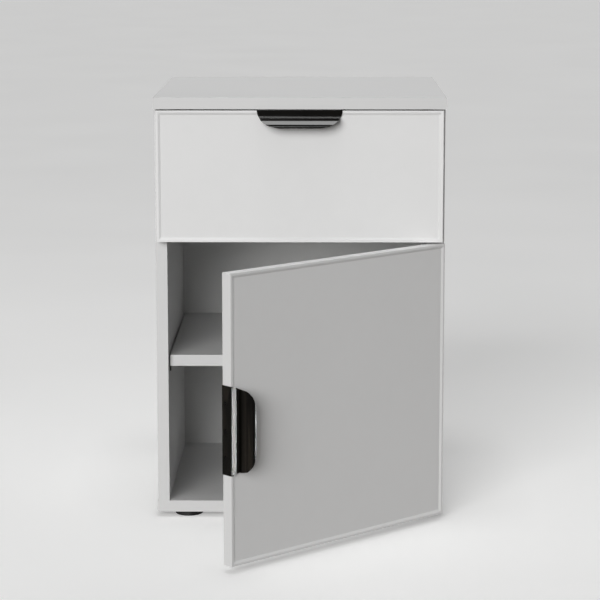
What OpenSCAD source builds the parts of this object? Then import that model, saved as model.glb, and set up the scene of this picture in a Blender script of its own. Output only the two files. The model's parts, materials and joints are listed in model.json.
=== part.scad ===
// Bedside cabinet: one drawer over one cupboard door, with formed edge pulls.
// The origin is on the floor under the middle of the carcass, +X right, +Y to the back, +Z up.

/* [Carcass] */
// Width over the top and bottom panels
cab_w = 450; // [400:10:600]
// Depth from the face of the fronts to the rear edge
cab_d = 470; // [450:10:560]
// Height of the top surface above the floor
cab_h = 665; // [600:5:760]
// Thickness of the carcass boards and of the fronts
board_t = 18; // [16:1:20]
// How far each side panel stands in from the ends of the top panel
side_inset = 1; // [0:0.5:4]
// Thickness of the back panel
back_t = 6; // [4:1:8]
// Distance from the face of the fronts to the face of the back panel
back_at = 420; // [400:5:430]
// Depth of the grooves that hold the back panel
groove_d = 8; // [5:1:9]

/* [Shelf] */
// Height of the shelf's underside above the floor
shelf_z = 240.5; // [160:0.5:300]
// How far the shelf stands back from the front edges of the carcass
shelf_back = 12; // [5:1:40]
// Gap between the shelf and each side panel
shelf_gap = 2; // [1:0.5:3]

/* [Feet] */
// Diameter of each foot
foot_dia = 44; // [30:1:60]
// Height of each foot
foot_h = 8; // [6:1:12]
// Distance of each foot's centre from the ends of the bottom panel
foot_side = 48.5; // [35:0.5:80]
// Distance of each front foot's centre from the face of the fronts
foot_end = 46; // [45:1:80]

/* [Fronts] */
// Width of the drawer front and of the door
front_w = 441; // [391:1:591]
// Height of the drawer front
drawer_h = 203; // [195:1:230]
// Gap between the top panel and the drawer front
top_gap = 2; // [1.5:0.5:4]
// Gap between the drawer front and the door
mid_gap = 3; // [2:0.5:5]
// How far the door's lower edge stands above the underside of the bottom panel
door_lift = 2; // [1:0.5:6]
// Gap between the backs of the fronts and the carcass
front_gap = 2.5; // [2:0.5:3]
// Width of the flat lip round each front
lip_w = 3.4; // [2:0.2:6]
// Width of the sloping band inside the lip
slope_w = 3.6; // [2:0.2:6]
// Depth of the sunk field inside the band
field_d = 1.7; // [1:0.1:2.5]

/* [Door hinge] */
// How far the door stands open
door_open = 43.6; // [0:0.1:90]
// Distance of the hinge axis from the door's hinge-side edge
axis_in = 6.3; // [6.3:0.1:6.5]
// Distance of the hinge axis behind the face of the door
axis_back = 8.6; // [8.6:0.1:8.8]
// Distance of each hinge from the end of the door
hinge_end = 90; // [70:1:110]

/* [Pulls] */
// Length of each pull along the edge of its front
pull_l = 131; // [100:1:160]
// Thickness of the pull's metal
pull_t = 2; // [1.5:0.1:2]
// How deep the pull's plate is let into the edge of the front
pull_sink = 0.5; // [0.5:0.1:1.5]
// How far the pull stands out from the face of the front
pull_out = 26; // [22:0.5:30]
// Drop of the pull below the edge of the front
pull_drop = 25; // [22:0.5:30]
// Length of the rounded end of the pull's outline
pull_round = 38; // [25:1:45]

/* [Drawer box] */
// Thickness of the drawer box boards
box_t = 15; // [12:1:16]
// Height of the drawer box
box_h = 140; // [120:5:150]
// Depth of the drawer box
box_l = 380; // [365:5:385]
// Height of the drawer box above the lower edge of the drawer front
box_lift = 18; // [12:1:24]
// Thickness of the drawer base
base_t = 5; // [3:1:6]

/* [Runners] */
// Length of the drawer runners
runner_l = 350; // [300:10:360]
// Height of the drawer runners
runner_h = 45; // [40:1:46]
// Space that each runner takes between the side panel and the drawer box
runner_w = 12.7; // [12.7:0.1:13.5]
// Thickness of the runners' sheet steel
runner_t = 1.2; // [1:0.1:1.4]
// Height of the runners' centre line above the drawer box's lower edge
runner_up = 36; // [30:1:45]

/* [Hidden] */
$fn = 48;

// Clearances: a loose fit in wood, a running fit, and the step that keeps cuts clean
fit = 0.05;
play = 0.3;
eps = 0.01;

// How far a countersunk head lies below its surface, and the cross cut in every screw head
sink = 0.2;
slot_w = 0.8;
slot_d = 1.2;

// Planes and edges of the carcass
face_y = -cab_d / 2;
rear_y = cab_d / 2;
carcass_y = face_y + board_t + front_gap;
half_w = cab_w / 2;
side_x = half_w - side_inset;
inner_x = side_x - board_t;
mid_x = side_x - board_t / 2;
roof_z = cab_h - board_t;
deck_z = foot_h + board_t;
back_y = face_y + back_at;
shelf_y = carcass_y + shelf_back;

// Edges of the fronts
front_x = front_w / 2;
drawer_top = roof_z - top_gap;
drawer_z = drawer_top - drawer_h;
door_top = drawer_z - mid_gap;
door_z = foot_h + door_lift;
door_h = door_top - door_z;
door_back = face_y + board_t;

// Drawer box
box_x = inner_x - runner_w;
box_in = box_x - box_t;
box_y = face_y + board_t;
box_end = box_y + box_l;
box_z = drawer_z + box_lift;
base_z = box_z + 10;
base_groove = 6;
base_play = 0.5;
corner_zs = [78, 118];
corner_screw_l = 35;
front_screw_xs = [-120, 120];
front_screw_zs = [30, 110];
front_screw_l = 25;
front_screw_in = 12;

// Wooden dowels and the fittings that draw the panels together
dowel_r = 4;
dowel_l = 30;
dowel_in = 10;
dowel_ys = [carcass_y + 35, 0, rear_y - 35];
fitting_ys = [carcass_y + 80, rear_y - 80];
cam_r = 7.5;
cam_d = 12.5;
cam_down = 34;
bolt_r = 3;
bolt_head_r = 3.5;
thread_r = 2.5;
thread_l = 11;
base_screw_l = 50;
base_screw_r = 3.5;
base_screw_tip_r = 2.6;
base_screw_head_r = 5;
base_screw_key_r = 2.3;

// Shelf pins, each with a small bracket leaf
pin_r = 2.5;
pin_in = 10;
leaf_h = 11;
leaf_w = 10;
leaf_l = 12;
leaf_t = 1.8;
pin_ys = [shelf_y + 22, back_y - 40];

// Feet: the rear ones stand far enough forward for their screws to miss the back panel's groove
foot_x = half_w - foot_side;
foot_front_y = face_y + foot_end;
foot_rear_y = back_y - 14;
foot_places = [
    [-foot_x, foot_front_y], [foot_x, foot_front_y],
    [-foot_x, foot_rear_y], [foot_x, foot_rear_y]
];
foot_edge = 1;
foot_pocket_r = 5;
foot_pocket_d = 2;

// Small screws
screw_r = 1.75;
screw_head_r = 3.5;
pan_r = 3.4;
pan_h = 2;
foot_screw_l = 17;
runner_screw_l = 12;
runner_pan_h = 1.2;

// Hinge: the cup is let into the back of the door, and the arm is fixed to the side panel
axis_x = front_x - axis_in;
axis_y = face_y + axis_back;
hinge_zs = [door_z + hinge_end, door_top - hinge_end];
cup_r = 17.5;
cup_edge = 3;
cup_d = 12.5;
cup_wall = 0.6;
cup_x = front_x - cup_edge - cup_r;
flange_t = 1.2;
flange_w = 16;
flange_h = 58;
cup_screw_z = 22.5;
cup_screw_x = cup_x - 9.5;
cup_screw_l = 12;
cheek_t = 1.4;
cheek_w = 9;
pin_axle_r = 1.2;
knuckle_r = 1.8;
knuckle_h = 7;
arm_t = 1.6;
arm_h = 15;
neck_x = inner_x - 3.6;
web_x = inner_x - 10.4;
arm_end_x = inner_x - 2.6;
arm_y = carcass_y + 10;
arm_l = 52;
lock_r = 2;
plate_t = 2;
plate_l = 36;
plate_h = 52;
plate_y = carcass_y + 20;
plate_screw_y = carcass_y + 37;
plate_screw_z = 17;
plate_screw_l = 14;
lock_screw_y = carcass_y + 52;

// Runner screws along the length of a runner
runner_y = carcass_y + 2;
runner_z = box_z + runner_up;
runner_screws = [30, runner_l / 2, runner_l - 35];
middle_short = 10;
outer_depth = 9;
web_gap = 2;
middle_h = runner_h - 2 * runner_t - 2 * play;
inner_h = middle_h - 2 * runner_t - 2 * play;

// Pull section, in turn down its front: corner, flat leaf, flare, steep ledge, bend, sloping band,
// curl and lip. The turns are headings from straight down towards the front.
nose_r = 0.8;
flare_r = 3;
ledge_turn = 80;
bend_r = 5;
band_turn = 45;
band_l = 6.5;
curl_r = 6;
lip_l = 1.5;
pull_screws = [-40, 0, 40];
pull_screw_back = 11;
pull_screw_l = 12;
pull_screw_head_r = 3;
plate_top = pull_t - pull_sink;
ledge_out = pull_out - pull_t - flare_r * (1 - cos(ledge_turn))
    - bend_r * (cos(band_turn) - cos(ledge_turn))
    - band_l * sin(band_turn) - curl_r * (1 - cos(band_turn));
ledge_l = ledge_out / sin(ledge_turn);
flat_l = pull_drop - flare_r * sin(ledge_turn) - ledge_l * cos(ledge_turn)
    - bend_r * (sin(ledge_turn) - sin(band_turn))
    - band_l * cos(band_turn) - curl_r * sin(band_turn) - lip_l;
door_pull_drop = 14;

// Buffers on the back of the door
buffer_r = 4;
buffer_t = 2;
buffer_in = 12;
buffer_places = [
    [buffer_in - front_x, door_z + buffer_in + 4],
    [buffer_in - front_x, door_top - buffer_in - 4]
];

white = [0.88, 0.88, 0.87];
pale_board = [0.80, 0.80, 0.79];
black = [0.06, 0.06, 0.06];
bronze_black = [0.09, 0.08, 0.07];
steel = [0.70, 0.71, 0.72];
zinc = [0.60, 0.61, 0.63];
beech = [0.76, 0.62, 0.44];
clear = [0.90, 0.90, 0.90];

// ---- helpers ----

// A box from its lowest to its highest corner
module span(low, high) {
    translate(low) cube(high - low);
}

// The same thing on the left (-X) and on the right (+X)
module both_sides() {
    children();
    mirror([1, 0, 0]) children();
}

// A round bar that starts at a point and runs along +X, +Y or +Z
module bar(at, r, l, dir = "z") {
    turn = dir == "x" ? [0, 90, 0] : dir == "y" ? [-90, 0, 0] : [0, 0, 0];
    translate(at) rotate(turn) cylinder(r = r, h = l);
}

// A quarter of a ring, with its corner at the origin and its arc towards +X and +Y
module quarter(outer, inner) {
    intersection() {
        difference() {
            circle(r = outer);
            circle(r = inner);
        }
        square(outer);
    }
}

// A cross recess of the given width over its arms, cut in from the plane z = 0 towards +Z
module cross_slot(across, deep) {
    for (a = [0, 90])
        rotate(a) translate([-across / 2, -slot_w / 2, -eps]) cube([across, slot_w, deep]);
}

// A screw's shank with its point along +Z
module shank(l, r) {
    cylinder(r = r, h = l - 2 * r);
    translate([0, 0, l - 2 * r]) cylinder(r1 = r, r2 = 0.3, h = 2 * r);
}

// A countersunk screw, its head just below the plane z = 0 and its point along +Z
module flat_screw(l, r, head_r) {
    translate([0, 0, sink]) difference() {
        union() {
            cylinder(r1 = head_r, r2 = r, h = head_r - r);
            shank(l, r);
        }
        cross_slot(head_r, slot_d);
    }
}

// The hole that a countersunk screw needs
module flat_screw_hole(l, r, head_r) {
    translate([0, 0, -eps]) cylinder(r = head_r + fit, h = sink + eps);
    translate([0, 0, sink]) cylinder(r1 = head_r + fit, r2 = r + fit, h = head_r - r);
    cylinder(r = r + fit, h = l + 1);
}

// A pan-head screw whose head rests on the plane z = 0, with its point along +Z
module pan_screw(l, head_h) {
    translate([0, 0, -head_h]) difference() {
        cylinder(r = pan_r, h = head_h);
        cross_slot(pan_r * 1.2, head_h * 0.6);
    }
    shank(l, screw_r);
}

// ---- carcass ----

// Holes for the dowels in the end of a side panel and in the panel that it meets
module dowel_holes() {
    both_sides()
        for (y = dowel_ys) {
            bar([mid_x, y, roof_z + dowel_in - dowel_l - 1], dowel_r + fit, dowel_l + 2);
            bar([mid_x, y, deck_z - dowel_in - 1], dowel_r + fit, dowel_l + 2);
        }
}

// The groove that takes the back panel
module back_groove() {
    x = inner_x + groove_d;
    gap = play / 2;
    span([-x, back_y - gap, deck_z - groove_d], [x, back_y + back_t + gap, roof_z + groove_d]);
}

module top_panel() {
    color(white) difference() {
        span([-half_w, face_y, roof_z], [half_w, rear_y, cab_h]);
        dowel_holes();
        back_groove();
        both_sides()
            for (y = fitting_ys) bar([mid_x, y, roof_z - 1], thread_r + fit, thread_l + 2);
    }
}

module bottom_panel() {
    color(white) difference() {
        span([-half_w, carcass_y, foot_h], [half_w, rear_y, deck_z]);
        dowel_holes();
        back_groove();
        both_sides()
            for (y = fitting_ys)
                translate([mid_x, y, foot_h])
                    flat_screw_hole(base_screw_l, base_screw_r, base_screw_head_r);
        for (p = foot_places)
            bar([p[0], p[1], foot_h - 1], screw_r + fit, foot_screw_l + foot_pocket_d - foot_h + 2);
    }
}

// The right side panel's board with every hole that both sides share
module side_board() {
    difference() {
        span([inner_x, carcass_y, deck_z], [side_x, rear_y, roof_z]);
        dowel_holes();
        back_groove();
        for (y = fitting_ys) {
            bar([inner_x - eps, y, roof_z - cam_down], cam_r + fit, cam_d + 0.5, "x");
            bar([mid_x, y, roof_z - cam_down], bolt_r + 1, cam_down + 1);
            bar([mid_x, y, deck_z - 1], base_screw_tip_r + fit, base_screw_l - board_t + 3);
        }
        for (y = pin_ys)
            bar([inner_x - eps, y, shelf_z - leaf_t - pin_r], pin_r + fit, pin_in + 0.5, "x");
        for (y = runner_screws)
            bar([inner_x - eps, runner_y + y, runner_z], screw_r + fit, runner_screw_l, "x");
    }
}

module side_panel_left() {
    color(white) mirror([1, 0, 0]) side_board();
}

module side_panel_right() {
    color(white) difference() {
        side_board();
        for (z = hinge_zs, s = [-1, 1])
            bar(
                [inner_x - eps, plate_screw_y, z + s * plate_screw_z],
                screw_r + fit, plate_screw_l - 1, "x");
    }
}

module back_panel() {
    deep = groove_d - 0.5;
    x = inner_x + deep;
    color(pale_board) span([-x, back_y, deck_z - deep], [x, back_y + back_t, roof_z + deep]);
}

module dowels() {
    color(beech)
        both_sides()
            for (y = dowel_ys) {
                bar([mid_x, y, roof_z + dowel_in - dowel_l], dowel_r, dowel_l);
                bar([mid_x, y, deck_z - dowel_in], dowel_r, dowel_l);
            }
}

// Bolts that hang from the top panel into the cam locks
module cam_bolts() {
    color(steel)
        both_sides()
            for (y = fitting_ys) {
                bar([mid_x, y, roof_z - eps], thread_r, thread_l);
                bar([mid_x, y, roof_z - cam_down + 5], bolt_r - 1, cam_down - 5);
                bar([mid_x, y, roof_z - 3], bolt_r, 3);
                bar([mid_x, y, roof_z - cam_down + 1], bolt_head_r, 4);
            }
}

// Each lock is cut away round its bolt's head and has a cross recess in its face
module cam_locks() {
    color(zinc)
        both_sides()
            for (y = fitting_ys)
                translate([inner_x, y, roof_z - cam_down])
                    difference() {
                        bar([0, 0, 0], cam_r, cam_d, "x");
                        bar([mid_x - inner_x, 0, -2], bolt_head_r + slot_w, cam_r + 4);
                        rotate([0, 90, 0]) cross_slot(cam_r, 2 * slot_d);
                    }
}

// Long screws through the bottom panel into the ends of the side panels
module base_screw() {
    difference() {
        union() {
            cylinder(
                r1 = base_screw_head_r, r2 = base_screw_r, h = base_screw_head_r - base_screw_r);
            cylinder(r = base_screw_r, h = board_t - sink);
            translate([0, 0, board_t - sink]) cylinder(r = base_screw_tip_r, h = base_screw_l - board_t);
        }
        translate([0, 0, -eps]) cylinder(r = base_screw_key_r, h = 3, $fn = 6);
    }
}

module base_screws() {
    color(zinc)
        both_sides()
            for (y = fitting_ys) translate([mid_x, y, foot_h + sink]) base_screw();
}

// ---- shelf ----

module shelf() {
    x = inner_x - shelf_gap;
    color(white) span([-x, shelf_y, shelf_z], [x, back_y - 2, shelf_z + board_t]);
}

// Pins in the side panels, each with a leaf against the panel and a ledge under the shelf
module shelf_pins() {
    half = leaf_w / 2;
    x = inner_x - play;
    color(zinc)
        both_sides()
            for (y = pin_ys) {
                bar([inner_x - leaf_t, y, shelf_z - leaf_t - pin_r], pin_r, pin_in + leaf_t, "x");
                span([x - leaf_t, y - half, shelf_z - leaf_h], [x, y + half, shelf_z]);
                span([x - leaf_l, y - half, shelf_z - leaf_t], [x, y + half, shelf_z]);
            }
}

// ---- feet ----

// One round foot with a sunk hole for its screw
module foot(place) {
    r = foot_dia / 2;
    color(black)
        translate([place[0], place[1], 0])
            difference() {
                union() {
                    cylinder(r1 = r - foot_edge, r2 = r, h = foot_edge);
                    translate([0, 0, foot_edge]) cylinder(r = r, h = foot_h - foot_edge);
                }
                translate([0, 0, -eps]) cylinder(r = foot_pocket_r, h = foot_pocket_d + eps);
                translate([0, 0, foot_pocket_d]) flat_screw_hole(foot_h, screw_r, screw_head_r);
            }
}

module foot_screws() {
    color(steel)
        for (p = foot_places)
            translate([p[0], p[1], foot_pocket_d]) flat_screw(foot_screw_l, screw_r, screw_head_r);
}

// ---- hinges: parts on the carcass ----

// A plate screwed to the side panel with a raised body that carries the arm
module hinge_plate(z) {
    flat = plate_h / 2;
    body = arm_h / 2 - arm_t - play;
    color(steel) difference() {
        union() {
            span([inner_x - plate_t, plate_y, z - flat], [inner_x, plate_y + plate_l, z + flat]);
            span([web_x + arm_t, plate_y - 4, z - body], [inner_x, plate_y + plate_l + 8, z + body]);
        }
        for (s = [-1, 1])
            bar(
                [inner_x - plate_t - eps, plate_screw_y, z + s * plate_screw_z],
                screw_r + fit, plate_t + 1, "x");
        bar([web_x, lock_screw_y, z], lock_r + fit, inner_x - web_x - 1, "x");
    }
}

module hinge_plate_screws() {
    color(steel)
        for (z = hinge_zs, s = [-1, 1])
            translate([inner_x - plate_t, plate_screw_y, z + s * plate_screw_z])
                rotate([0, 90, 0]) pan_screw(plate_screw_l, pan_h);
}

// Plan of the arm's neck: out of the cup, round a bend, back past the door and in to the web
module neck_plan() {
    bend = 3;
    half = arm_t / 2;
    translate([neck_x + bend, axis_y - half]) square([axis_x - neck_x - bend, arm_t]);
    translate([neck_x + bend, axis_y + bend]) rotate(180) quarter(bend + half, bend - half);
    translate([neck_x - half, axis_y + bend]) square([arm_t, carcass_y - axis_y - bend]);
    polygon([
        [neck_x - half, carcass_y - eps], [neck_x + half, carcass_y - eps],
        [web_x + arm_t, arm_y + eps], [web_x, arm_y + eps]
    ]);
}

// The arm: an eye round the hinge pin, a goose neck, and a channel over the plate's raised body
module hinge_arm(z) {
    half = arm_h / 2;
    slot = half - arm_t;
    end_y = arm_y + arm_l;
    color(steel) difference() {
        union() {
            bar([axis_x, axis_y, z - knuckle_h / 2], knuckle_r, knuckle_h);
            translate([0, 0, z - knuckle_h / 2]) linear_extrude(knuckle_h) neck_plan();
            difference() {
                span([web_x, arm_y, z - half], [arm_end_x, end_y, z + half]);
                span([web_x + arm_t, arm_y - 1, z - slot], [arm_end_x + 1, end_y + 1, z + slot]);
            }
        }
        bar([axis_x, axis_y, z - knuckle_h], pin_axle_r + fit, 2 * knuckle_h);
        bar([web_x - 1, lock_screw_y, z], lock_r + fit, arm_t + 2, "x");
    }
}

// Machine screws that clamp the arms to their plates
module hinge_arm_screws() {
    color(steel)
        for (z = hinge_zs)
            translate([web_x - pan_h, lock_screw_y, z])
                rotate([0, 90, 0])
                    difference() {
                        union() {
                            cylinder(r = pan_r, h = pan_h);
                            cylinder(r = lock_r, h = inner_x - web_x + pan_h - 1.5);
                        }
                        cross_slot(pan_r * 1.2, slot_d);
                    }
}

// ---- drawer runners ----
// Each is drawn for the right-hand side, with x counted from the side panel's inner face inwards.

// A channel with its web at x0, its open side inwards if grow is 1 and outwards if it is -1
module channel(x0, depth, h, l, y0, grow) {
    near = grow > 0 ? x0 + runner_t : x0 - eps;
    far = grow > 0 ? x0 + depth + eps : x0 + depth - runner_t;
    half = h / 2;
    inside = half - runner_t;
    end_y = y0 + l;
    difference() {
        span([inner_x - x0 - depth, y0, runner_z - half], [inner_x - x0, end_y, runner_z + half]);
        span(
            [inner_x - far, y0 - eps, runner_z - inside],
            [inner_x - near, end_y + eps, runner_z + inside]);
    }
}

module runner_outer() {
    color(steel) difference() {
        channel(0, outer_depth, runner_h, runner_l, runner_y, 1);
        for (y = runner_screws)
            bar([inner_x - runner_t - 1, runner_y + y, runner_z], screw_r + fit, runner_t + 2, "x");
    }
}

module runner_outer_screws() {
    color(steel)
        both_sides()
            for (y = runner_screws)
                translate([inner_x - runner_t, runner_y + y, runner_z])
                    rotate([0, 90, 0]) pan_screw(runner_screw_l, runner_pan_h);
}

module runner_middle() {
    x0 = runner_t + web_gap;
    y0 = runner_y + middle_short / 2;
    color(steel) channel(x0, outer_depth - x0, middle_h, runner_l - middle_short, y0, 1);
}

module runner_inner() {
    x0 = 2 * runner_t + web_gap + play;
    color(steel) difference() {
        channel(x0, runner_w - x0, inner_h, runner_l, runner_y, -1);
        for (y = runner_screws)
            bar([box_x - 1, runner_y + y, runner_z], screw_r + fit, runner_t + 2, "x");
    }
}

module runner_inner_screws() {
    color(steel)
        both_sides()
            for (y = runner_screws)
                translate([box_x + runner_t, runner_y + y, runner_z])
                    rotate([0, -90, 0]) pan_screw(runner_screw_l, runner_pan_h);
}

// ---- fronts ----

// A board in the front plane with a lip, a sloping band and a sunk field on its face
module front_board(x0, x1, z0, z1) {
    difference() {
        span([x0, face_y, z0], [x1, face_y + board_t, z1]);
        intersection() {
            translate([0, 0, z0]) linear_extrude(z1 - z0) sunk_outline(x0, x1);
            translate([x0 - eps, 0, 0]) rotate([90, 0, 90]) linear_extrude(x1 - x0 + 2 * eps)
                rotate(90) mirror([0, 1]) sunk_outline(z0, z1);
        }
    }
}

// Outline of the sunk field in a plane across it: wide at the face and narrower at its floor
module sunk_outline(a, b) {
    out = slope_w / field_d;
    polygon([
        [a + lip_w - out, face_y - 1], [b - lip_w + out, face_y - 1],
        [b - lip_w - slope_w, face_y + field_d], [a + lip_w + slope_w, face_y + field_d]
    ]);
}

// The shallow rebate that a pull's plate lies in, in the pull's own place
module pull_rebate() {
    long = pull_l / 2 + 0.2;
    span([-long, -1, -pull_sink], [long, board_t + 1, 1]);
}

// The pull in its own place: the origin is the front top edge of its board, and the face looks to -Y
module pull() {
    color(bronze_black) difference() {
        intersection() {
            translate([-pull_l / 2, 0, 0]) rotate([90, 0, 90]) linear_extrude(pull_l) pull_section();
            rotate([90, 0, 0])
                translate([0, 0, -board_t - 1]) linear_extrude(board_t + pull_out + 2) pull_outline();
        }
        for (x = pull_screws)
            translate([x, pull_screw_back, plate_top])
                rotate([180, 0, 0]) flat_screw_hole(pull_screw_l, screw_r, pull_screw_head_r);
    }
}

// A station on the pull's section: distance behind the face, height above the edge, and heading.
// The next one after a straight run:
function onward(s, l) = [[s[0] - l * sin(s[2]), s[1] - l * cos(s[2]), s[2]]];

// The ones round a bend to a new heading
function round_to(s, to, r) =
    let (steps = 8, side = to > s[2] ? r : -r)
    [for (i = [1:steps])
        let (a = s[2] + (to - s[2]) * i / steps)
        [s[0] + side * (cos(a) - cos(s[2])), s[1] + side * (sin(s[2]) - sin(a)), a]];

function last(list) = list[len(list) - 1];

// Section of the pull: x is the distance behind the face, y the height above the board's edge
module pull_section() {
    start = [-pull_t, plate_top - nose_r, 0];
    leaf = onward(start, start[1] + flat_l);
    flare = round_to(last(leaf), ledge_turn, flare_r);
    ledge = onward(last(flare), ledge_l);
    bend = round_to(last(ledge), band_turn, bend_r);
    band = onward(last(bend), band_l);
    curl = round_to(last(band), 0, curl_r);
    lip = onward(last(curl), lip_l);
    front = concat([start], leaf, flare, ledge, bend, band, curl, lip);
    back = [for (s = front) [s[0] + pull_t * cos(s[2]), s[1] - pull_t * sin(s[2])]];
    polygon(concat(
        [for (s = front) [s[0], s[1]]],
        [for (i = [len(back) - 1:-1:0]) back[i]]
    ));
    translate([nose_r - pull_t, plate_top - pull_t]) square([board_t + pull_t - nose_r, pull_t]);
    translate([nose_r - pull_t, plate_top - nose_r]) circle(r = nose_r);
}

// Front view of the pull: straight along the top edge, with long rounded ends
module pull_outline() {
    steps = 16;
    half = pull_l / 2;
    top = plate_top + 1;
    turns = [for (i = [0:steps]) 90 * i / steps];
    round_end = [for (a = turns) [half - pull_round * (1 - cos(a)), -pull_drop * sin(a)]];
    polygon(concat(
        [[-half, top], [half, top]],
        round_end,
        [for (i = [steps:-1:0]) [-round_end[i][0], round_end[i][1]]]
    ));
}

// Screws down through a pull's plate, in the pull's own place
module pull_screw_set() {
    color(black)
        for (x = pull_screws)
            translate([x, pull_screw_back, plate_top])
                rotate([180, 0, 0]) flat_screw(pull_screw_l, screw_r, pull_screw_head_r);
}

// Holes for those screws in the edge of a board
module pull_screw_bores() {
    deep = pull_screw_l + 2;
    for (x = pull_screws) bar([x, pull_screw_back, -deep], screw_r + fit, deep);
}

// ---- drawer ----

module drawer_place() {
    translate([0, face_y, drawer_top]) children();
}

module drawer_front() {
    color(white) difference() {
        front_board(-front_x, front_x, drawer_z, drawer_top);
        drawer_place() {
            pull_rebate();
            pull_screw_bores();
        }
        for (x = front_screw_xs, z = front_screw_zs)
            bar([x, box_y - front_screw_in, box_z + z], screw_r + fit, front_screw_in + eps, "y");
    }
}

module drawer_pull() {
    drawer_place() pull();
}

module drawer_pull_screws() {
    drawer_place() pull_screw_set();
}

// Groove round the inside of the drawer box for its base
module base_slot() {
    deep = base_groove + fit;
    span(
        [-box_in - deep, box_y + box_t - deep, base_z - fit],
        [box_in + deep, box_end - box_t + deep, base_z + base_t + fit]);
}

// Screws through the sides into the front and back of the box, or the holes that they need
module box_corner_screws(hole) {
    both_sides()
        for (y = [box_y + box_t / 2, box_end - box_t / 2], z = corner_zs)
            translate([box_x, y, box_z + z])
                rotate([0, -90, 0])
                    if (hole) flat_screw_hole(corner_screw_l, screw_r, screw_head_r);
                    else flat_screw(corner_screw_l, screw_r, screw_head_r);
}

module drawer_side_board() {
    difference() {
        span([box_in, box_y, box_z], [box_x, box_end, box_z + box_h]);
        base_slot();
        box_corner_screws(true);
        for (y = runner_screws)
            bar([box_x - runner_screw_l + 1, runner_y + y, runner_z], screw_r + fit, runner_screw_l, "x");
    }
}

module drawer_side_left() {
    color(pale_board) mirror([1, 0, 0]) drawer_side_board();
}

module drawer_side_right() {
    color(pale_board) drawer_side_board();
}

module drawer_box_front() {
    color(pale_board) difference() {
        span([-box_in, box_y, box_z], [box_in, box_y + box_t, box_z + box_h]);
        base_slot();
        box_corner_screws(true);
        for (x = front_screw_xs, z = front_screw_zs)
            bar([x, box_y - 1, box_z + z], screw_r + fit, box_t + 2, "y");
    }
}

module drawer_back() {
    color(pale_board) difference() {
        span([-box_in, box_end - box_t, box_z], [box_in, box_end, box_z + box_h]);
        base_slot();
        box_corner_screws(true);
    }
}

module drawer_base() {
    deep = base_groove - base_play;
    x = box_in + deep;
    color(pale_board)
        span([-x, box_y + box_t - deep, base_z], [x, box_end - box_t + deep, base_z + base_t]);
}

module drawer_box_screws() {
    color(steel) box_corner_screws(false);
}

module drawer_front_screws() {
    color(steel)
        for (x = front_screw_xs, z = front_screw_zs)
            translate([x, box_y + box_t, box_z + z]) rotate([90, 0, 0]) pan_screw(front_screw_l, pan_h);
}

// ---- door, drawn shut and then swung open about the hinge axis ----

module door_place() {
    translate([axis_x, axis_y, 0])
        rotate([0, 0, door_open]) translate([-axis_x, -axis_y, 0]) children();
}

// Where the door's pull goes: its plate is on the free edge, at half height
module door_pull_place() {
    translate([-front_x, face_y, door_z + door_h / 2 - door_pull_drop])
        rotate([0, -90, 0]) children();
}

module door_panel() {
    color(white) door_place() difference() {
        front_board(-front_x, front_x, door_z, door_top);
        door_pull_place() {
            pull_rebate();
            pull_screw_bores();
        }
        for (z = hinge_zs) {
            bar([cup_x, face_y + board_t - cup_d, z], cup_r + fit, cup_d + 1, "y");
            for (s = [-1, 1])
                bar(
                    [cup_screw_x, door_back - cup_screw_l + 1, z + s * cup_screw_z],
                    screw_r + fit, cup_screw_l, "y");
        }
    }
}

module door_pull() {
    door_place() door_pull_place() pull();
}

module door_pull_screws() {
    door_place() door_pull_place() pull_screw_set();
}

// The cup's flange: a strip with a screw at each end and a rim, cut away where the arm swings
module cup_flange(z) {
    x = cup_screw_x;
    half_w = flange_w / 2;
    half_h = flange_h / 2;
    notch = arm_h / 2 + 1;
    difference() {
        union() {
            span([x - half_w, door_back, z - half_h], [x + half_w, door_back + flange_t, z + half_h]);
            bar([cup_x, door_back, z], cup_r + 1, flange_t, "y");
        }
        bar([cup_x, door_back - 1, z], cup_r - cup_wall, flange_t + 2, "y");
        span([axis_x - 3, door_back - eps, z - notch], [front_x, door_back + 2, z + notch]);
        for (s = [-1, 1])
            bar([x, door_back - 1, z + s * cup_screw_z], screw_r + fit, flange_t + 2, "y");
    }
}

// The steel cup in the back of the door, with two cheeks that carry the hinge pin
module hinge_cup(z) {
    floor_y = door_back - cup_d;
    cheek_z = knuckle_h / 2 + sink;
    color(steel) door_place() {
        cup_flange(z);
        difference() {
            bar([cup_x, floor_y, z], cup_r, cup_d, "y");
            bar([cup_x, floor_y + cup_wall, z], cup_r - cup_wall, cup_d, "y");
        }
        difference() {
            intersection() {
                bar([cup_x, floor_y, z], cup_r, cup_d, "y");
                for (low = [cheek_z, -cheek_z - cheek_t])
                    translate([axis_x - cheek_w / 2, floor_y, z + low])
                        cube([cheek_w, cup_d - 3, cheek_t]);
            }
            bar([axis_x, axis_y, z - cheek_w], pin_axle_r + fit, 2 * cheek_w);
        }
    }
}

module hinge_pins() {
    half = knuckle_h / 2 + sink + cheek_t;
    color(zinc) door_place() for (z = hinge_zs) bar([axis_x, axis_y, z - half], pin_axle_r, 2 * half);
}

module hinge_cup_screws() {
    y = door_back + flange_t;
    color(steel)
        door_place()
            for (z = hinge_zs, s = [-1, 1])
                translate([cup_screw_x, y, z + s * cup_screw_z])
                    rotate([90, 0, 0]) pan_screw(cup_screw_l, pan_h);
}

// Soft domes that meet the carcass when the door shuts
module door_buffers() {
    half = buffer_t / 2;
    color(clear)
        door_place()
            for (p = buffer_places)
                translate([p[0], door_back, p[1]])
                    rotate([-90, 0, 0]) {
                        cylinder(r = buffer_r, h = half);
                        translate([0, 0, half]) cylinder(r1 = buffer_r, r2 = buffer_r - 1, h = half);
                    }
}

// ---- the assembly ----

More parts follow.
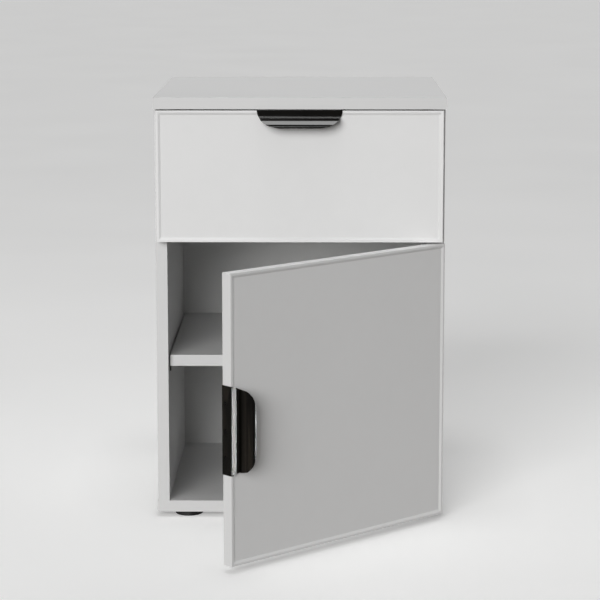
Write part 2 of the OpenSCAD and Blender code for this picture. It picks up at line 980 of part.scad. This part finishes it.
top_panel();
bottom_panel();
side_panel_left();
side_panel_right();
back_panel();
dowels();
cam_bolts();
cam_locks();
base_screws();
shelf();
shelf_pins();
foot(foot_places[0]);  // foot_front_left
foot(foot_places[1]);  // foot_front_right
foot(foot_places[2]);  // foot_rear_left
foot(foot_places[3]);  // foot_rear_right
foot_screws();
hinge_plate(hinge_zs[1]);  // hinge_plate_upper
hinge_plate(hinge_zs[0]);  // hinge_plate_lower
hinge_plate_screws();
hinge_arm(hinge_zs[1]);  // hinge_arm_upper
hinge_arm(hinge_zs[0]);  // hinge_arm_lower
hinge_arm_screws();
mirror([1, 0, 0]) runner_outer();  // runner_outer_left
runner_outer();  // runner_outer_right
runner_outer_screws();
mirror([1, 0, 0]) runner_middle();  // runner_middle_left
runner_middle();  // runner_middle_right
mirror([1, 0, 0]) runner_inner();  // runner_inner_left
runner_inner();  // runner_inner_right
runner_inner_screws();
drawer_front();
drawer_box_front();
drawer_side_left();
drawer_side_right();
drawer_back();
drawer_base();
drawer_box_screws();
drawer_front_screws();
drawer_pull();
drawer_pull_screws();
door_panel();
door_pull();
door_pull_screws();
hinge_cup(hinge_zs[1]);  // hinge_cup_upper
hinge_cup(hinge_zs[0]);  // hinge_cup_lower
hinge_pins();
hinge_cup_screws();
door_buffers();
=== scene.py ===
import json
import math

import bpy
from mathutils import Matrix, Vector


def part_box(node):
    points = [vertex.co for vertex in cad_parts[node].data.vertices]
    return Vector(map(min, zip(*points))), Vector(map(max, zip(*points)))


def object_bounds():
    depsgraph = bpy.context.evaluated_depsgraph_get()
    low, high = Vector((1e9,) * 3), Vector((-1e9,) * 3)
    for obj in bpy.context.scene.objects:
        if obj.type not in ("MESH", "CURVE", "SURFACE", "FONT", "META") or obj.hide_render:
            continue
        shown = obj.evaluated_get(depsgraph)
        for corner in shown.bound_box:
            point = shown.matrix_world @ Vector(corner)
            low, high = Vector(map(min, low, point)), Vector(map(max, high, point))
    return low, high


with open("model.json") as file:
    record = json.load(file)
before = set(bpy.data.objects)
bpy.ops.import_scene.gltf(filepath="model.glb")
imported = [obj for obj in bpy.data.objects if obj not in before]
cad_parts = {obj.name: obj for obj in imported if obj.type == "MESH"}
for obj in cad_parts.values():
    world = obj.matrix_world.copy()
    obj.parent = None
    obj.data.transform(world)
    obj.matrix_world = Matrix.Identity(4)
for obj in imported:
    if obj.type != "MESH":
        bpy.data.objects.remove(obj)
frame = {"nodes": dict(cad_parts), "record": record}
cad_low, cad_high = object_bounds()


# ---- materials: colours are linear, lengths are in metres ----

# The sockets of a colour Mix node, whose names repeat
MIX_A, MIX_B, MIX_RESULT = 6, 7, 2


class Shader:
    """One node material: a Principled shader, and short calls that make and wire its nodes."""

    def __init__(self, name, **values):
        self.material = bpy.data.materials.new(name)
        self.material.use_nodes = True
        self.tree = self.material.node_tree
        self.shader = self.tree.nodes["Principled BSDF"]
        self.place = self.node("ShaderNodeTexCoord").outputs["Object"]
        for socket, value in values.items():
            self.shader.inputs[socket.replace("_", " ")].default_value = value

    def node(self, kind, **settings):
        made = self.tree.nodes.new(kind)
        for key, value in settings.items():
            setattr(made, key, value)
        return made

    def wire(self, source, target):
        self.tree.links.new(source, target)

    def spread(self, stretch):
        """Object coordinates scaled by (x, y, z), in metres."""
        mapping = self.node("ShaderNodeMapping")
        mapping.inputs["Scale"].default_value = stretch
        self.wire(self.place, mapping.inputs["Vector"])
        return mapping.outputs["Vector"]

    def noise(self, scale, detail, rough, stretch=(1, 1, 1)):
        """Soft noise from 0 to 1, with scale features per metre."""
        made = self.node("ShaderNodeTexNoise")
        made.inputs["Scale"].default_value = scale
        made.inputs["Detail"].default_value = detail
        made.inputs["Roughness"].default_value = rough
        self.wire(self.spread(stretch), made.inputs["Vector"])
        return made.outputs["Fac"]

    def cells(self, scale, stretch=(1, 1, 1)):
        """Distance to the nearest of scattered points, with scale points per metre."""
        made = self.node("ShaderNodeTexVoronoi")
        made.inputs["Scale"].default_value = scale
        self.wire(self.spread(stretch), made.inputs["Vector"])
        return made.outputs["Distance"]

    def ramp(self, value, stops):
        """Colours along a value: stops are (position, colour)."""
        made = self.node("ShaderNodeValToRGB")
        ramp = made.color_ramp
        while len(ramp.elements) < len(stops):
            ramp.elements.new(0.5)
        for element, (position, colour) in zip(ramp.elements, stops):
            element.position = position
            element.color = (*colour, 1)
        self.wire(value, made.inputs["Fac"])
        return made.outputs["Color"]

    def between(self, value, low, high, start=0.0, end=1.0):
        """A value that runs from start to end, mapped to low to high."""
        made = self.node("ShaderNodeMapRange")
        made.inputs["From Min"].default_value = start
        made.inputs["From Max"].default_value = end
        made.inputs["To Min"].default_value = low
        made.inputs["To Max"].default_value = high
        self.wire(value, made.inputs["Value"])
        return made.outputs["Result"]

    def combine(self, operation, a, b):
        """A sum or product of two values, each a number or a socket."""
        made = self.node("ShaderNodeMath", operation=operation)
        for slot, item in zip(made.inputs, (a, b)):
            if isinstance(item, (int, float)):
                slot.default_value = item
            else:
                self.wire(item, slot)
        return made.outputs["Value"]

    def mix(self, factor, a, b):
        """Colour a where factor is 0 and b where it is 1, each a colour or a socket."""
        made = self.node("ShaderNodeMix", data_type="RGBA")
        self.wire(factor, made.inputs["Factor"])
        for slot, item in zip((made.inputs[MIX_A], made.inputs[MIX_B]), (a, b)):
            if isinstance(item, tuple):
                slot.default_value = (*item, 1)
            else:
                self.wire(item, slot)
        return made.outputs[MIX_RESULT]

    def edge_wear_and_highlight(self, low, high):
        """0 on flats and 1 on convex edges, over pointiness from low to high: worn edges on some finishes,
        and a painted highlight on the white ones.
        """
        pointiness = self.node("ShaderNodeNewGeometry").outputs["Pointiness"]
        return self.between(pointiness, 0, 1, low, high)

    def colour(self, value):
        self.wire(value, self.shader.inputs["Base Color"])

    def roughness(self, value):
        self.wire(value, self.shader.inputs["Roughness"])

    def bump(self, *layers):
        """Bump from (height, depth in metres) layers, one over the other."""
        normal = None
        for height, depth in layers:
            made = self.node("ShaderNodeBump")
            made.inputs["Strength"].default_value = 1.0
            made.inputs["Distance"].default_value = depth
            self.wire(height, made.inputs["Height"])
            if normal is not None:
                self.wire(normal, made.inputs["Normal"])
            normal = made.outputs["Normal"]
        self.wire(normal, self.shader.inputs["Normal"])


def white_finish(name, white, rough):
    """Satin white: a soft orange-peel skin, faint clouding, and arrises painted paler as a painted
    highlight.
    """
    s = Shader(name, IOR=1.5, Specular_IOR_Level=0.45)
    cloud = s.noise(3.2, 4.0, 0.55)
    fine = s.noise(46.0, 2.0, 0.5)

    def shade(k):
        """The white times k, a trace warm."""
        return (white * k, white * k, white * k * 0.996)

    base = s.ramp(cloud, [(0.30, shade(0.975)), (0.70, shade(1.0))])
    base = s.mix(s.between(fine, 0.0, 0.35, 0.35, 0.75), base, shade(1.012))
    # Painted highlight: the convex arrises are painted paler than the flats
    base = s.mix(s.edge_wear_and_highlight(0.53, 0.60), base, shade(1.06))
    s.colour(base)
    s.roughness(s.combine("ADD", s.between(cloud, rough, rough + 0.08), s.between(fine, 0.0, 0.05)))
    s.bump((s.noise(420.0, 2.0, 0.45), 0.00006), (s.noise(9.0, 2.0, 0.5), 0.0002))
    return s.material


def white_board():
    """Matt white foil over chipboard, with a fine pearl grain."""
    s = Shader("white_board", Roughness=0.55, IOR=1.5, Specular_IOR_Level=0.4)
    cloud = s.noise(5.0, 4.0, 0.6)
    s.colour(s.ramp(cloud, [(0.3, (0.690, 0.690, 0.680)), (0.7, (0.735, 0.735, 0.728))]))
    s.roughness(s.between(cloud, 0.50, 0.62))
    s.bump((s.cells(900.0), 0.00005), (s.noise(260.0, 3.0, 0.6), 0.00006))
    return s.material


def black_bronze():
    """Black-bronze coating on formed metal: deep and glossy, faintly clouded, browner on its edges."""
    s = Shader("black_bronze", IOR=1.5, Specular_IOR_Level=0.38)
    cloud = s.noise(26.0, 4.0, 0.6)
    draw = s.noise(420.0, 3.0, 0.6)
    base = s.ramp(cloud, [(0.3, (0.0012, 0.0011, 0.0009)), (0.7, (0.0030, 0.0025, 0.0019))])
    base = s.mix(s.edge_wear_and_highlight(0.56, 0.68), base, (0.016, 0.013, 0.010))
    s.colour(base)
    s.roughness(s.combine("ADD", s.between(cloud, 0.09, 0.13), s.between(draw, 0.0, 0.05)))
    s.bump((draw, 0.000003), (s.noise(18.0, 2.0, 0.5), 0.00006))
    return s.material


def metal(name, low, high, rough, stretch):
    """Plated or brushed metal: a tone from low to high, clouded and streaked, with brighter edges."""
    s = Shader(name, Metallic=1.0)
    cloud = s.noise(55.0, 4.0, 0.6)
    streak = s.noise(500.0, 2.0, 0.6, stretch)
    base = s.ramp(s.combine("MULTIPLY", s.combine("ADD", cloud, streak), 0.5), [(0.30, low), (0.70, high)])
    base = s.mix(s.edge_wear_and_highlight(0.53, 0.62), base, tuple(1.2 * part for part in high))
    s.colour(base)
    s.roughness(s.combine("ADD", s.between(cloud, rough, rough + 0.10), s.between(streak, 0.0, 0.08)))
    s.bump((streak, 0.00002), (s.noise(140.0, 3.0, 0.6), 0.00003))
    return s.material


def black_screw():
    """Blackened steel, finely pitted."""
    s = Shader("black_screw", Metallic=1.0)
    cloud = s.noise(300.0, 3.0, 0.6)
    s.colour(s.ramp(cloud, [(0.3, (0.018, 0.018, 0.019)), (0.7, (0.040, 0.039, 0.038))]))
    s.roughness(s.between(cloud, 0.34, 0.50))
    s.bump((s.noise(900.0, 2.0, 0.6), 0.00003))
    return s.material


def dark_pin():
    """Dark plated steel, streaked along each pin."""
    s = Shader("dark_pin", Metallic=1.0)
    cloud = s.noise(180.0, 4.0, 0.6)
    s.colour(s.ramp(cloud, [(0.3, (0.060, 0.060, 0.062)), (0.7, (0.115, 0.113, 0.110))]))
    s.roughness(s.between(cloud, 0.30, 0.45))
    s.bump((s.noise(700.0, 3.0, 0.6, (1, 5, 5)), 0.00003))
    return s.material


def black_plastic():
    """Moulded plastic with a fine spark-eroded grain and scuffed rims."""
    s = Shader("black_plastic", IOR=1.46, Specular_IOR_Level=0.4)
    cloud = s.noise(60.0, 4.0, 0.6)
    base = s.ramp(cloud, [(0.3, (0.012, 0.012, 0.012)), (0.7, (0.022, 0.022, 0.022))])
    s.colour(s.mix(s.edge_wear_and_highlight(0.55, 0.70), base, (0.060, 0.060, 0.058)))
    s.roughness(s.between(cloud, 0.45, 0.60))
    s.bump((s.cells(1500.0), 0.00006), (s.noise(500.0, 3.0, 0.6), 0.00004))
    return s.material


def beech():
    """Turned beech: streaked along each dowel, with short dark flecks."""
    s = Shader("beech", IOR=1.5, Specular_IOR_Level=0.3)
    streak = s.noise(900.0, 3.0, 0.6, (1, 1, 0.06))
    fleck = s.cells(1400.0, (1, 1, 0.12))
    base = s.ramp(streak, [(0.25, (0.42, 0.25, 0.13)), (0.75, (0.62, 0.43, 0.26))])
    s.colour(s.mix(s.between(fleck, 0.5, 0.0, 0.0, 0.25), base, (0.30, 0.17, 0.09)))
    s.roughness(s.between(streak, 0.55, 0.75))
    s.bump((streak, 0.00008))
    return s.material


def clear_buffer():
    """Soft clear bumper: milky and slightly rippled."""
    s = Shader("clear_buffer", IOR=1.48, Specular_IOR_Level=0.5, Transmission_Weight=0.55)
    cloud = s.noise(350.0, 3.0, 0.6)
    s.colour(s.ramp(cloud, [(0.3, (0.80, 0.81, 0.80)), (0.7, (0.90, 0.90, 0.89))]))
    s.roughness(s.between(cloud, 0.16, 0.30))
    s.bump((s.noise(500.0, 2.0, 0.5), 0.00004))
    return s.material


MATERIALS = {
    "white_lacquer": white_finish("white_lacquer", 0.80, 0.40),
    "white_board": white_board(),
    "black_bronze": black_bronze(),
    "black_screw": black_screw(),
    "dark_pin": dark_pin(),
    "black_plastic": black_plastic(),
    "beech": beech(),
    "zinc": metal("zinc", (0.50, 0.51, 0.53), (0.66, 0.67, 0.69), 0.26, (1, 1, 6)),
    "nickel": metal("nickel", (0.56, 0.55, 0.53), (0.70, 0.69, 0.66), 0.16, (1, 6, 1)),
    "runner_steel": metal("runner_steel", (0.46, 0.47, 0.49), (0.62, 0.63, 0.65), 0.30, (6, 0.35, 6)),
    "clear_buffer": clear_buffer(),
}

# Painted shade: the carcass boards take the fronts' white, painted a little greyer
CARCASS_SHADED_WHITE = white_finish("carcass_shaded_white", 0.665, 0.42)
CARCASS = ("top_panel", "bottom_panel", "side_panel_left", "side_panel_right", "shelf")


# ---- CAD nodes: their own shape, eased edges and their slot's finish ----

# Width of the eased edges in metres, by slot
EDGE = {
    "white_lacquer": 0.0009,
    "white_board": 0.0005,
    "black_bronze": 0.00035,
    "black_screw": 0.00015,
    "dark_pin": 0.0003,
    "black_plastic": 0.0007,
    "beech": 0.0005,
    "zinc": 0.0002,
    "nickel": 0.00022,
    "runner_steel": 0.00025,
    "clear_buffer": 0.0004,
}
# Faces that meet at less than FLAT degrees are joined, and at more than SHARP degrees are eased
FLAT = 0.2
SHARP = 20


def ease(obj, width, segments):
    """Joins the CAD mesh's split faces, clears its flat triangles, and rounds its sharp edges."""
    weld = obj.modifiers.new("weld", "WELD")
    weld.merge_threshold = 1e-6
    flat = obj.modifiers.new("flat", "DECIMATE")
    flat.decimate_type = "DISSOLVE"
    flat.angle_limit = math.radians(FLAT)
    bevel = obj.modifiers.new("bevel", "BEVEL")
    bevel.width = width
    bevel.segments = segments
    bevel.limit_method = "ANGLE"
    bevel.angle_limit = math.radians(SHARP)
    bevel.use_clamp_overlap = True
    bevel.miter_outer = "MITER_ARC"
    flats = obj.modifiers.new("flats", "WEIGHTED_NORMAL")
    flats.mode = "FACE_AREA"
    flats.weight = 100


slots = {part["node"]: part["material_slot"] for part in frame["record"]["subparts"]}
for name, obj in frame["nodes"].items():
    slot = slots[name]
    obj.data.materials.clear()
    # The carcass boards get the white painted greyer, as painted shade
    obj.data.materials.append(CARCASS_SHADED_WHITE if name in CARCASS else MATERIALS[slot])
    for face in obj.data.polygons:
        face.material_index = 0
        face.use_smooth = True
    ease(obj, EDGE[slot], 3 if slot == "white_lacquer" else 2)


# ---- floor, light and camera ----

def floor():
    """A plain pale floor that throws back only as much light as a timber floor would."""
    s = Shader("floor", Roughness=0.7, Specular_IOR_Level=0.0)
    cloud = s.noise(1.5, 3.0, 0.5)
    pale = s.ramp(cloud, [(0.3, (0.90, 0.90, 0.895)), (0.7, (0.93, 0.93, 0.925))])
    # The tone that other light meets, and a glow that only the camera sees
    timber = (0.30, 0.285, 0.27)
    glow = 0.30
    half = 45.0
    seen = s.node("ShaderNodeLightPath").outputs["Is Camera Ray"]
    s.colour(s.mix(seen, timber, pale))
    s.wire(pale, s.shader.inputs["Emission Color"])
    s.wire(s.combine("MULTIPLY", seen, glow), s.shader.inputs["Emission Strength"])
    mesh = bpy.data.meshes.new("floor")
    mesh.from_pydata(
        [(-half, -half, 0), (half, -half, 0), (half, half, 0), (-half, half, 0)], [], [(0, 1, 2, 3)])
    mesh.materials.append(s.material)
    obj = bpy.data.objects.new("floor", mesh)
    bpy.context.scene.collection.objects.link(obj)


def light(name, kind, energy, azimuth, elevation, distance, target, **settings):
    """A light that looks at target from distance, azimuth (degrees from the front to +X) and elevation."""
    data = bpy.data.lights.new(name, kind)
    data.energy = energy
    for key, value in settings.items():
        setattr(data, key, value)
    a, e = math.radians(azimuth), math.radians(elevation)
    away = Vector((math.sin(a) * math.cos(e), -math.cos(a) * math.cos(e), math.sin(e)))
    obj = bpy.data.objects.new(name, data)
    obj.location = target + distance * away
    obj.rotation_euler = away.to_track_quat("Z", "Y").to_euler()
    bpy.context.scene.collection.objects.link(obj)
    return obj


def surround(pale, dim):
    """A pale backdrop for the camera, and a dimmer even light from all round."""
    world = bpy.data.worlds.new("studio")
    bpy.context.scene.world = world
    world.use_nodes = True
    tree = world.node_tree
    tree.nodes.clear()
    out = tree.nodes.new("ShaderNodeOutputWorld")
    mix = tree.nodes.new("ShaderNodeMixShader")
    path = tree.nodes.new("ShaderNodeLightPath")
    tree.links.new(path.outputs["Is Camera Ray"], mix.inputs["Fac"])
    for slot, value in ((1, dim), (2, pale)):
        shade = tree.nodes.new("ShaderNodeBackground")
        shade.inputs["Color"].default_value = (value, value, value, 1)
        tree.links.new(shade.outputs["Background"], mix.inputs[slot])
    tree.links.new(mix.outputs["Shader"], out.inputs["Surface"])


def group(name, nodes):
    """A collection of CAD nodes, for light linking."""
    made = bpy.data.collections.new(name)
    for node in nodes:
        made.objects.link(frame["nodes"][node])
    return made


def lit_only(lamp, nodes):
    """Keeps a light to some of the nodes, and out of the camera's sight."""
    lamp.visible_camera = False
    lamp.light_linking.receiver_collection = group(lamp.name, nodes)


def aim_camera(place, lens, down, turn):
    """The camera: its place in metres, its lens in mm, and how far it looks down and left in degrees."""
    data = bpy.data.cameras.new("camera")
    data.lens = lens
    data.sensor_width = 36
    obj = bpy.data.objects.new("camera", data)
    obj.location = place
    obj.rotation_euler = (math.radians(90 - down), 0, math.radians(turn))
    bpy.context.scene.collection.objects.link(obj)
    bpy.context.scene.camera = obj


floor()
surround(pale=0.62, dim=0.155)
middle = (cad_low + cad_high) / 2
light("key", "SUN", energy=2.30, azimuth=-18, elevation=16, distance=3.0, target=middle,
      angle=math.radians(34))
overhead = light("overhead", "AREA", energy=17, azimuth=0, elevation=86, distance=2.9, target=middle,
                 shape="SQUARE", size=0.8)
overhead.visible_camera = False

# The glow from behind gives the top its sheen, and the fills reach the sides and back
back_glow = light("back_glow", "AREA", energy=30, azimuth=180, elevation=12, distance=5.0, target=middle,
                  shape="RECTANGLE", size=6.0, size_y=2.4)
lit_only(back_glow, frame["nodes"])
for side, azimuth, energy in (("right", 124, 1.0), ("left", -136, 0.8)):
    fill = light("fill_" + side, "SUN", energy=energy, azimuth=azimuth, elevation=18, distance=3.0,
                 target=middle, angle=math.radians(40))
    lit_only(fill, frame["nodes"])

# The strip that makes the bright line on the door's pull. The pull's own ledge would hide it, so only the
# door shades it, and its light is sampled from the lamp alone.
pull_low, pull_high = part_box("door_pull")
pull_middle = (Vector(pull_low) + Vector(pull_high)) / 2
glint = light("glint", "AREA", energy=0.65, azimuth=84.7, elevation=-12.8, distance=0.55, target=pull_middle,
              shape="RECTANGLE", size=0.11, size_y=0.17)
lit_only(glint, ("drawer_pull", "door_pull"))
glint.light_linking.blocker_collection = group("glint_stops", ("door_panel",))
glint.data.cycles.use_multiple_importance_sampling = False

aim_camera(place=(0.0356, -3.6575, 0.9269), lens=134.4, down=9.54, turn=0.586)
bpy.context.scene.view_settings.view_transform = "Standard"
